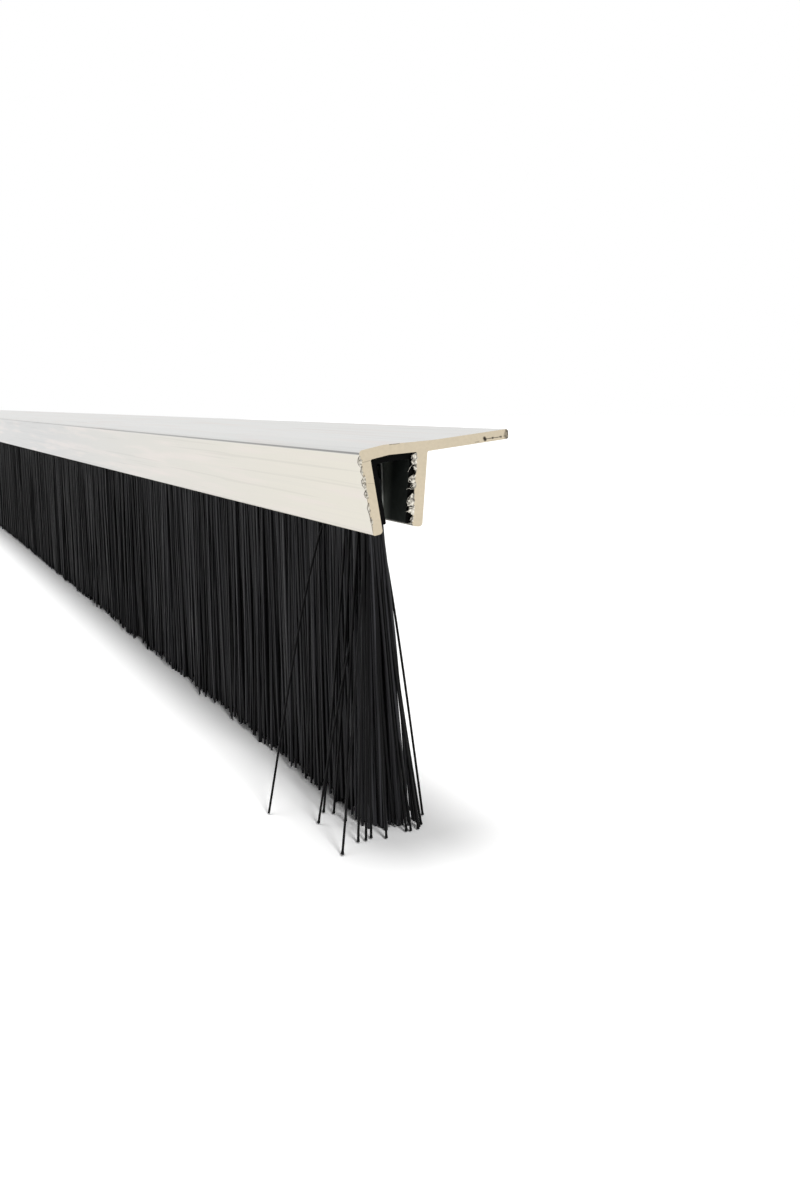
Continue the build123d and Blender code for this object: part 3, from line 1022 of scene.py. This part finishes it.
@dataclass
class FoldedPack:
    """Filaments inside the channel: bent over the core wire side by side, and gripped below it."""

    wire_axis: tuple[float, float]
    wire_radius: float
    strip_start: float
    strip_end: float
    exit_x: tuple[float, float]
    lip_z: float
    finish: bpy.types.Material
    diameter: float = 0.4 * MM
    play: float = 0.05 * MM
    thickness: float = 1.1 * MM
    slit: float = 0.05 * MM
    neck_rise: float = 1.2 * MM
    fold_depth: float = 1.6 * MM
    fold_count: int = 46
    fold_seeds: tuple[int, int] = (61, 67)
    shoulder_degrees: float = 20.0
    steps: int = 32
    # A grey filament down the rear edge of the pack's near end: a painted highlight line
    highlight_line_mm: Outline = (
        (-11.42, -3.95), (-11.28, -5.2), (-11.22, -7.0), (-11.18, -9.5), (-11.15, -12.6))
    highlight_line_width: float = 0.3 * MM
    highlight_line_stand: float = 0.1 * MM
    pieces: list[bpy.types.Object] = field(default_factory=list)

    def outline(self) -> list[tuple[float, float]]:
        """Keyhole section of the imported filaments, with the wire's bore open through a slit.

        Returns:
            The corners in order, as X and Z.
        """
        x, z = self.wire_axis
        bore = self.wire_radius + self.play
        outer = bore + self.thickness
        below = self.lip_z + self.neck_rise
        shoulder = math.radians(self.shoulder_degrees)
        found = [(self.exit_x[1], below)]
        for step in range(self.steps + 1):
            angle = -shoulder + (math.pi + 2 * shoulder) * step / self.steps
            found.append((x + outer * math.cos(angle), z + outer * math.sin(angle)))
        found += [(self.exit_x[0], below), (x - self.slit, below)]
        gap = math.asin(self.slit / bore)
        for step in range(self.steps + 1):
            angle = -math.pi / 2 - gap - (2 * math.pi - 2 * gap) * step / self.steps
            found.append((x + bore * math.cos(angle), z + bore * math.sin(angle)))
        return found + [(x + self.slit, below)]

    def build(self) -> None:
        """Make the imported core, and the single filaments that show at both of its ends."""
        corners = self.outline()
        near, far = self.strip_start + self.fold_depth / 2, self.strip_end - self.fold_depth / 2
        points = [(x, y, z) for y in (near, far) for x, z in corners]
        count = len(corners)
        walls = [(turn, (turn + 1) % count, (turn + 1) % count + count, turn + count)
                 for turn in range(count)]
        ends = [tuple(range(count)), tuple(range(2 * count - 1, count - 1, -1))]
        self.pieces.append(add_solid("filament_pack", points, walls + ends, self.finish))

        tree = fold_tree()
        half = self.diameter / 2
        fold_low = self.wire_radius + half
        fold_high = self.wire_radius + self.play + self.thickness - half
        for name, y, seed in (
                ("folds_near", self.strip_start + half, self.fold_seeds[0]),
                ("folds_far", self.strip_end - half - self.fold_depth, self.fold_seeds[1])):
            self.pieces.append(grow(name, tree, {
                "Count": self.fold_count, "Diameter": self.diameter,
                "Centre": (self.wire_axis[0], y, self.wire_axis[1]), "Depth": self.fold_depth,
                "Fold Low": fold_low, "Fold High": fold_high, "Exit Low": self.exit_x[0] + half,
                "Exit High": self.exit_x[1] - half, "Exit Z": self.lip_z, "Seed": seed,
                "Material": self.finish}))
        outermost = [(Vector((x * MM, self.strip_start - self.highlight_line_stand, z * MM)),
                      self.highlight_line_width / 2) for x, z in self.highlight_line_mm]
        self.pieces.append(tubes("highlight_line_filament", [outermost], HighlightFilament().build()))


@dataclass(frozen=True)
class Curl:
    """Thin curl of torn metal: the points of its line in the section, and how thick it starts.

    Both its ends are sunk in the metal, its middle stands out of the cut, and it thins down its line.
    """

    line_mm: Outline
    thickness_mm: float
    stand_mm: float = 0.15
    sink_mm: float = 0.04
    taper: float = 0.7


@dataclass
class SawBurrs:
    """Metal that the saw tore at the cut end: curls and flakes on the edges of the two legs."""

    cut_y: float
    finish: bpy.types.Material
    # The finishes are darker and brighter copies of one torn aluminium, set by where each burr sits:
    # painted shade and painted light
    dark_finish: bpy.types.Material
    pale_finish: bpy.types.Material
    lit_finish: bpy.types.Material
    flake_depth: float = 0.22 * MM
    flake_jag: float = 0.16 * MM
    flake_cuts: int = 3
    flake_shift: float = 0.25
    flake_rim: tuple[float, float] = (0.1, 0.9)
    flake_middle: float = 0.5
    flake_seat: float = 0.5
    flake_seed: int = 5
    inner_curls: tuple[Curl, ...] = (
        Curl(((-9.35, -2.75), (-9.80, -2.70), (-10.30, -2.95), (-10.35, -3.40), (-10.00, -3.50),
              (-9.70, -3.20)), 0.12),
        Curl(((-9.40, -3.50), (-9.90, -3.40), (-10.40, -3.80), (-10.10, -4.15), (-9.60, -4.10)), 0.11),
        Curl(((-9.50, -4.20), (-9.80, -3.80), (-10.20, -3.30)), 0.10),
        Curl(((-9.60, -3.95), (-10.15, -4.20), (-10.60, -4.70), (-10.85, -5.30)), 0.16),
        Curl(((-9.60, -5.80), (-10.20, -5.85), (-10.80, -6.20), (-10.85, -6.70), (-10.40, -6.90),
              (-10.30, -6.40)), 0.13),
        Curl(((-9.70, -7.10), (-10.30, -7.10), (-10.50, -7.40), (-9.90, -7.80)), 0.12),
        Curl(((-9.80, -7.80), (-10.40, -7.80), (-10.70, -7.65), (-11.10, -7.80)), 0.14),
        Curl(((-9.75, -8.70), (-10.40, -8.70), (-10.90, -9.10), (-11.10, -9.60), (-10.90, -10.10),
              (-10.30, -10.20), (-10.20, -9.50)), 0.14),
        Curl(((-9.90, -11.90), (-10.40, -12.00), (-10.55, -12.40), (-10.05, -12.75)), 0.14))
    outer_curls: tuple[Curl, ...] = (
        Curl(((-18.65, -2.80), (-18.95, -3.20), (-19.02, -3.70), (-18.85, -4.10), (-18.45, -4.45)), 0.15),
        Curl(((-18.35, -4.40), (-18.60, -5.00), (-18.35, -5.50), (-18.00, -5.90)), 0.14),
        Curl(((-18.00, -5.90), (-18.45, -6.30), (-18.30, -7.00), (-17.95, -7.40), (-17.60, -7.20)), 0.16),
        Curl(((-17.90, -6.30), (-17.75, -6.70), (-17.70, -7.30), (-17.55, -8.00)), 0.12),
        Curl(((-17.70, -7.70), (-18.05, -8.20), (-17.85, -8.70), (-17.45, -8.90)), 0.16),
        Curl(((-17.30, -9.50), (-17.55, -10.20), (-17.30, -11.00), (-17.05, -12.00), (-16.80, -12.90),
              (-16.55, -13.80)), 0.12))
    outer_flakes: tuple[Outline, ...] = (
        ((-18.50, -2.90), (-18.85, -3.10), (-18.85, -3.70), (-18.50, -4.10), (-18.36, -3.60)),
        ((-18.28, -4.20), (-18.50, -4.50), (-18.40, -5.10), (-18.06, -5.30)),
        ((-18.00, -5.50), (-18.34, -6.00), (-18.30, -6.60), (-17.88, -6.90), (-17.78, -6.30)),
        ((-17.78, -6.80), (-18.04, -7.20), (-17.86, -7.80), (-17.58, -7.90)),
        ((-17.58, -7.80), (-17.88, -8.30), (-17.66, -8.80), (-17.38, -8.90)),
        ((-17.22, -9.60), (-17.38, -10.20), (-17.18, -11.20), (-17.02, -10.60)),
        ((-16.86, -11.60), (-16.98, -12.20), (-16.72, -13.20), (-16.64, -12.60)))
    inner_flakes: tuple[Outline, ...] = (
        ((-9.30, -2.70), (-9.95, -2.75), (-10.15, -3.25), (-9.90, -3.55), (-9.40, -3.50)),
        ((-9.40, -3.40), (-10.20, -3.45), (-10.35, -3.85), (-10.05, -4.20), (-9.50, -4.25)),
        ((-9.50, -4.30), (-9.85, -4.40), (-9.95, -4.90), (-9.60, -5.60)),
        ((-9.55, -5.80), (-10.25, -5.85), (-10.75, -6.30), (-10.40, -6.85), (-9.65, -6.90)),
        ((-9.62, -6.80), (-10.20, -7.05), (-10.25, -7.50), (-9.70, -7.70)),
        ((-9.72, -8.45), (-10.35, -8.60), (-10.65, -9.10), (-10.30, -9.60), (-9.80, -9.60)),
        ((-9.78, -9.30), (-10.60, -9.25), (-11.05, -9.75), (-10.70, -10.25), (-9.85, -10.30)),
        ((-9.82, -10.20), (-10.45, -10.40), (-10.70, -10.80), (-9.90, -11.00)),
        ((-9.84, -10.60), (-10.60, -10.75), (-11.35, -11.10), (-10.50, -11.20), (-9.88, -11.60)),
        ((-9.93, -11.70), (-10.28, -11.90), (-10.32, -12.45), (-10.00, -12.75)))

    def build(self) -> None:
        """Make the curls and the flakes, and ride them on the body."""
        inner = tubes("inner_burr_curls", [self.line(curl) for curl in self.inner_curls], self.finish)
        outer = tubes("outer_burr_curls", [self.line(curl) for curl in self.outer_curls],
                      self.dark_finish)
        innermost = self.make_flakes("inner_burr_flakes", self.inner_flakes, self.lit_finish)
        outermost = self.make_flakes("outer_burr_flakes", self.outer_flakes, self.pale_finish)
        for piece in (inner, outer, innermost, outermost):
            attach(piece, BODY)

    def line(self, curl: Curl) -> list[tuple[Vector, float]]:
        """Points down one curl, which starts in the metal, stands out of the cut and thins.

        Args:
            curl: the curl.

        Returns:
            The points in order, each with the curl's radius there, in metres.
        """
        last = len(curl.line_mm) - 1
        found = []
        for turn, (x, z) in enumerate(curl.line_mm):
            rise = curl.stand_mm * math.sin(math.pi * turn / last) - curl.sink_mm
            thinner = 1 - curl.taper * turn / last
            found.append((Vector((x * MM, self.cut_y - rise * MM, z * MM)),
                          curl.thickness_mm * thinner / 2 * MM))
        return found

    def make_flakes(self, name: str, outlines: tuple[Outline, ...],
                    finish: bpy.types.Material) -> bpy.types.Object:
        """Make flakes as thin plates with jagged edges and a raised middle.

        Args:
            name: the name of the piece.
            outlines: the rough outline of each flake in the section, in millimetres.
            finish: the piece's material.

        Returns:
            The new object.
        """
        draw = random.Random(self.flake_seed)
        points, faces = [], []
        for rough in outlines:
            flake = []
            for corner, following in zip(rough, rough[1:] + rough[:1]):
                for cut in range(self.flake_cuts):
                    shift = draw.uniform(-self.flake_shift, self.flake_shift)
                    share = (cut + shift) / self.flake_cuts
                    jag = 0.0 if cut == 0 else self.flake_jag / MM
                    flake.append(tuple(start + (end - start) * share + draw.uniform(-jag, jag)
                                       for start, end in zip(corner, following)))
            first = len(points)
            count = len(flake)
            middle = [sum(corner[axis] for corner in flake) / count for axis in (0, 1)]
            points += [(x * MM, self.cut_y + self.flake_seat * self.flake_depth, z * MM)
                       for x, z in flake]
            points += [(x * MM, self.cut_y - draw.uniform(*self.flake_rim) * self.flake_depth, z * MM)
                       for x, z in flake]
            points.append((middle[0] * MM, self.cut_y - self.flake_middle * self.flake_depth,
                           middle[1] * MM))
            top = first + 2 * count
            faces.append(tuple(range(first + count - 1, first - 1, -1)))
            for turn in range(count):
                onward = (turn + 1) % count
                faces.append((first + turn, first + onward, first + count + onward,
                              first + count + turn))
                faces.append((first + count + turn, first + count + onward, top))
        return add_solid(name, points, faces, finish)


def tubes(name: str, lines: list[list[tuple[Vector, float]]],
          finish: bpy.types.Material) -> bpy.types.Object:
    """Make round tubes along lines of points, as one plain mesh.

    Args:
        name: the name of the piece.
        lines: the points of each tube in metres, each with the tube's radius there.
        finish: the piece's material.

    Returns:
        The new object, at the origin.
    """
    curve = bpy.data.curves.new(name, "CURVE")
    curve.dimensions = "3D"
    curve.bevel_depth = 1.0
    curve.bevel_resolution = TUBE_ROUNDNESS
    curve.use_fill_caps = True
    curve.materials.append(finish)
    for points in lines:
        spline = curve.splines.new("POLY")
        spline.points.add(len(points) - 1)
        for handle, (point, radius) in zip(spline.points, points):
            handle.co = (*point, 1.0)
            handle.radius = radius
        spline.use_smooth = True
    source = add_object(name + "_curve", curve)
    graph = bpy.context.evaluated_depsgraph_get()
    mesh = bpy.data.meshes.new_from_object(source.evaluated_get(graph))
    bpy.data.objects.remove(source)
    return add_object(name, mesh)


@dataclass(frozen=True)
class Strand:
    """One listed filament: where it leaves the channel, where it ends and how it bows."""

    root_mm: tuple[float, float]
    tip_mm: tuple[float, float]
    bow_mm: tuple[float, float] = (0.0, 0.0)
    belly: float = 0.5
    bulb: float = 1.3


@dataclass
class LooseFilaments:
    """Filaments placed one by one: the strays, and those that splay out of the end of the strip."""

    lip_z: float
    tip_z: float
    strip_start: float
    finish: bpy.types.Material
    diameter: float = 0.4 * MM
    points: int = 13
    bulb_share: float = 0.14
    strays: tuple[Strand, ...] = (
        Strand((-13.0, 15.9), (-26.7, 11.2), (-1.0, 0.5), 0.31, 1.0),
        Strand((-11.5, 2.4), (-21.0, 3.8), (-0.3, 0.0), 0.7, 1.4),
        Strand((-13.0, 1.5), (-22.5, -8.5), (0.1, 0.0), 0.7, 1.6),
        Strand((-11.8, 0.7), (-4.55, -1.3), (0.48, -0.25), 0.3, 1.2))
    splayed: tuple[Strand, ...] = (
        Strand((-11.8, 0.5), (-6.65, -4.55), (-0.35, 0.0), 0.5, 1.3),
        Strand((-11.9, 0.4), (-7.4, -5.2), (-0.3, 0.2), 0.5, 1.3),
        Strand((-11.5, 0.3), (-7.9, -5.8), (0.2, 0.8), 0.62),
        Strand((-11.8, 0.4), (-9.3, -5.9), (0.0, 0.9)),
        Strand((-12.0, 0.1), (-10.0, -5.7), (-0.2, 0.4)),
        Strand((-12.7, 0.2), (-14.0, -6.5), (0.2, 0.7)),
        Strand((-13.2, 0.5), (-16.1, -5.4), (0.0, 0.3)),
        Strand((-13.6, 0.2), (-17.2, -5.8), (0.3, 0.5)),
        Strand((-13.9, 0.6), (-18.5, -5.7), (0.2, 0.2)),
        Strand((-14.0, 2.4), (-16.8, 2.4), (-0.3, 0.2)),
        Strand((-14.0, 5.6), (-17.2, 6.2), (0.2, -0.4)),
        Strand((-14.0, 7.0), (-18.5, 7.4), (0.3, 0.3)))

    def line(self, strand: Strand) -> list[Vector]:
        """Points down one filament, from inside the channel to its tip.

        Args:
            strand: the filament.

        Returns:
            The points in order, in metres.
        """
        start = Vector((strand.root_mm[0] * MM, self.strip_start + strand.root_mm[1] * MM, self.lip_z))
        end = Vector((strand.tip_mm[0] * MM, self.strip_start + strand.tip_mm[1] * MM,
                      self.tip_z + self.diameter / 2))
        bow = Vector((strand.bow_mm[0] * MM, strand.bow_mm[1] * MM, 0.0))
        bend = math.log(0.5) / math.log(strand.belly)
        found = []
        for step in range(self.points):
            share = step / (self.points - 1)
            found.append(start.lerp(end, share) + bow * math.sin(math.pi * share ** bend))
        return found

    def make(self, name: str, strands: tuple[Strand, ...]) -> bpy.types.Object:
        """Make a group of filaments as one plain mesh.

        Args:
            name: the name of the piece.
            strands: its filaments.

        Returns:
            The new object, at the origin.
        """
        radius = self.diameter / 2
        lines = []
        for strand in strands:
            points = self.line(strand)
            points.insert(-1, points[-1].lerp(points[-2], self.bulb_share))
            line = [(point, radius) for point in points]
            line[-1] = (points[-1], radius * strand.bulb)
            lines.append(line)
        return tubes(name, lines, self.finish)

    def build(self) -> None:
        """Make the strays and the splayed end filaments, and ride them on the body."""
        stray = self.make("strays", self.strays)
        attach(stray, BODY)
        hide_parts("stray_filaments")
        stand_for_curtain([self.make("splayed_filaments", self.splayed)])


def add_seen_rays(tree: bpy.types.NodeTree) -> bpy.types.Node:
    """Tell the rays that the eye follows, straight or by a mirror or glass, from those that light.

    Args:
        tree: the node tree of a material or of the world.

    Returns:
        One for a ray that the eye follows, and zero for any other.
    """
    path = add_node(tree, "ShaderNodeLightPath").outputs
    mirrored = add_node(tree, "ShaderNodeMath", {0: path["Is Glossy Ray"],
                                                 1: path["Is Transmission Ray"]}, operation="MAXIMUM")
    return add_node(tree, "ShaderNodeMath", {0: path["Is Camera Ray"], 1: mirrored}, operation="MAXIMUM")


@dataclass
class Studio:
    """Plain pale floor, soft light and the camera at the photograph's angle."""

    floor_z: float
    camera_mm: tuple[float, float, float] = (-81.3, -585.48, 4.35)
    heading: float = 28.28
    pitch: float = -11.06
    lens_mm: float = 30.0
    sensor_mm: float = 36.0
    nearest_seen: float = 10 * MM
    floor_size: float = 8.0
    floor_colour: str = "#E6E6E4"
    floor_seen: float = 1.22
    world_light: float = 0.16
    key_light: float = 1.8
    key_from: tuple[float, float, float] = (-0.02, -0.78, 0.62)
    key_angle: float = 14.0
    top_light: float = 1.6
    top_from: tuple[float, float, float] = (0.055, 0.15, 0.987)
    top_angle: float = 17.0

    def build(self) -> None:
        """Make the floor, the lights and the camera."""
        self.make_floor()
        self.make_world()
        self.make_sun("key", self.key_light, self.key_from, self.key_angle)
        self.make_sun("overhead", self.top_light, self.top_from, self.top_angle)
        self.make_camera()
        bpy.context.scene.view_settings.view_transform = "Standard"

    def make_floor(self) -> None:
        """Lay the floor under the tips.

        The camera sees it brighter than it lights the brush, so that it burns out to white as a
        sheet of paper does, and it keeps the shadow of the brush.
        """
        half = self.floor_size / 2
        corners = [(-half, -half, self.floor_z), (half, -half, self.floor_z),
                   (half, half, self.floor_z), (-half, half, self.floor_z)]
        mesh = bpy.data.meshes.new("floor")
        mesh.from_pydata(corners, [], [(0, 1, 2, 3)])
        floor = add_object("floor", mesh)
        material, tree = new_material("matt white paper")
        seen = (self.floor_seen, self.floor_seen, self.floor_seen, 1.0)
        mixed = add_node(tree, "ShaderNodeMix", {
            "Factor": add_seen_rays(tree), 6: colour(self.floor_colour), 7: seen},
            data_type="RGBA", clamp_result=False)
        shader = add_node(tree, "ShaderNodeBsdfDiffuse", {"Color": mixed.outputs[2]})
        add_node(tree, "ShaderNodeOutputMaterial", {"Surface": shader})
        mesh.materials.append(material)

    def make_world(self) -> None:
        """Light the scene evenly from all round, with white behind the brush and in its gloss."""
        world = bpy.data.worlds.new("white studio")
        world.use_nodes = True
        tree = world.node_tree
        tree.nodes.clear()
        strength = add_node(tree, "ShaderNodeMapRange", {"Value": add_seen_rays(tree),
                                                         "To Min": self.world_light})
        sky = add_node(tree, "ShaderNodeBackground", {"Color": colour("#FFFFFF"), "Strength": strength})
        add_node(tree, "ShaderNodeOutputWorld", {"Surface": sky})
        bpy.context.scene.world = world

    def make_sun(self, name: str, strength: float, come_from: tuple[float, float, float],
                 angle: float) -> None:
        """Add one soft lamp that lights the whole length alike, and leaves no glare on the metal.

        Args:
            name: the lamp's name.
            strength: its light in watts per square metre.
            come_from: the direction that its light comes from.
            angle: how wide it looks from the brush, in degrees.
        """
        lamp = bpy.data.lights.new(name, "SUN")
        lamp.energy = strength
        lamp.angle = math.radians(angle)
        sun = add_object(name, lamp)
        sun.rotation_euler = Vector(come_from).to_track_quat("Z", "Y").to_euler()
        sun.visible_glossy = False

    def make_camera(self) -> None:
        """Set the camera where the photograph was taken from."""
        lens = bpy.data.cameras.new("camera")
        lens.lens = self.lens_mm
        lens.sensor_width = self.sensor_mm
        lens.clip_start = self.nearest_seen
        lens.clip_end = 2 * self.floor_size
        camera = add_object("camera", lens)
        camera.location = [value * MM for value in self.camera_mm]
        camera.rotation_euler = (math.radians(90 + self.pitch), 0.0, math.radians(-self.heading))
        bpy.context.scene.camera = camera


def row_range(node: str, height: float, reach: float) -> tuple[float, float]:
    """Range of X that a node's mesh covers at one height.

    Args:
        node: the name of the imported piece.
        height: the height in metres.
        reach: how far above and below the height a point still counts.

    Returns:
        The lowest and the highest X in metres.
    """
    across = [vertex.co.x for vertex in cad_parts[node].data.vertices
              if abs(vertex.co.z - height) < reach]
    return min(across), max(across)


def dress(node: str, finish: bpy.types.Material) -> None:
    """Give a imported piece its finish."""
    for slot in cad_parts[node].material_slots:
        slot.material = finish


def main() -> None:
    """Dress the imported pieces, grow the filaments and set the studio."""
    logging.basicConfig(level=logging.INFO, format="%(message)s")
    carrier_low, carrier_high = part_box("carrier_profile")
    wire_low, wire_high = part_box("core_wire")
    lip_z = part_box("backing_channel")[0].z
    tip_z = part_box("filament_curtain")[0].z
    exit_x = row_range("filament_curtain", lip_z, LIP_BAND)
    tip_x = row_range("filament_curtain", tip_z, TIP_BAND)
    log.info("lip %.2f, tips %.2f, exit %.2f to %.2f, tips %.2f to %.2f mm", lip_z / MM, tip_z / MM,
             exit_x[0] / MM, exit_x[1] / MM, tip_x[0] / MM, tip_x[1] / MM)

    corner = min((vertex.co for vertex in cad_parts["carrier_profile"].data.vertices),
                 key=lambda point: point.x)
    dress("carrier_profile", MillAluminium().build((carrier_high.y - carrier_low.y) / 2, corner))
    dress("backing_channel", BlackBacking().build(wire_high.y))
    dress("core_wire", GalvanisedWire().build())
    log.info("carrier, backing channel and core wire dressed")

    filament = BlackFilament().build()
    curtain = FilamentCurtain(lip_z, tip_z, wire_low.y, wire_high.y, exit_x, tip_x, filament)
    curtain.build()
    stand_for_curtain(curtain.pieces)
    for piece in curtain.pieces:
        log.info("%s: %d faces", piece.name, len(piece.data.polygons))
    LooseFilaments(lip_z, tip_z, wire_low.y, filament).build()
    log.info("loose filaments placed")

    wire_axis = ((wire_low.x + wire_high.x) / 2, (wire_low.z + wire_high.z) / 2)
    pack = FoldedPack(wire_axis, (wire_high.x - wire_low.x) / 2, wire_low.y, wire_high.y, exit_x, lip_z,
                      filament)
    pack.build()
    stand_for_curtain(pack.pieces)
    log.info("filaments packed over the core wire")

    # Darker and brighter copies of the torn aluminium for the burrs: painted shade and painted light
    shaded = TornAluminium(name="shaded aluminium burr", bright="#8C877E", dull="#45413B")
    pale = TornAluminium(name="pale aluminium burr", bright="#DAD5C9", dull="#827D73")
    torn = TornAluminium()
    lit = TornAluminium(name="fresh aluminium burr", bright="#ECE7DB", dull="#6A665F", crumple_mm=0.5)
    SawBurrs(carrier_low.y, torn.build(), shaded.build(), pale.build(), lit.build()).build()
    log.info("burrs left on the sawn end")

    Studio(tip_z - FLOOR_GAP).build()


if __name__ == "__main__":
    main()
